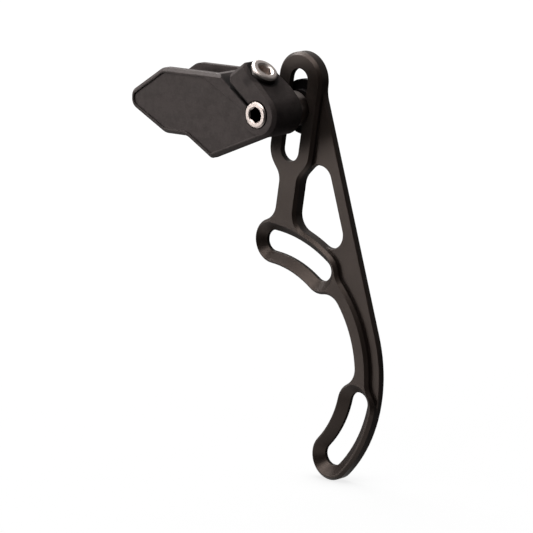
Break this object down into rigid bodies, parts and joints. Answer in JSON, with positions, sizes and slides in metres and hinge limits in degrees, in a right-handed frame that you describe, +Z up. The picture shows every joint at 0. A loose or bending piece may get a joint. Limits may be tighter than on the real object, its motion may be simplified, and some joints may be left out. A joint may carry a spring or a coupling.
{
  "type": "bicycle chain guide",
  "caption": "Bicycle chain guide: a black moulded guide clamped on a post that slides in a slotted aluminium back plate.",
  "frame": {"origin": "crank axis, on the plate's back face", "axes": "+X to the right and +Z up in the plate's plane, +Y from the plate's front to its back"},
  "size_m": [0.0807, 0.0239, 0.1263],
  "materials": {
    "plate": "satin",
    "guide": "matte",
    "steel": "satin",
    "nut": "satin"
  },
  "bodies": {
    "plate": {"back_plate": "plate"},
    "nut": {"slot_nut": "nut"},
    "post": {"guide_post": "steel"},
    "guide": {"guide_body": "guide", "pinch_bolt": "steel"}
  },
  "joints": [
    {"name": "height_slide", "type": "slide", "parent": "plate", "child": "nut", "axis": [0.1668, 0, 0.986], "range_m": [-0.0128, 0.0086]},
    {"name": "swivel", "type": "hinge", "parent": "nut", "child": "post", "pos_m": [0.01253, 0, 0.07682], "axis": [0, 1, 0], "continuous": true},
    {"name": "chainline_slide", "type": "slide", "parent": "post", "child": "guide", "axis": [0, 1, 0], "range_m": [-0.004, 0.0005]}
  ]
}
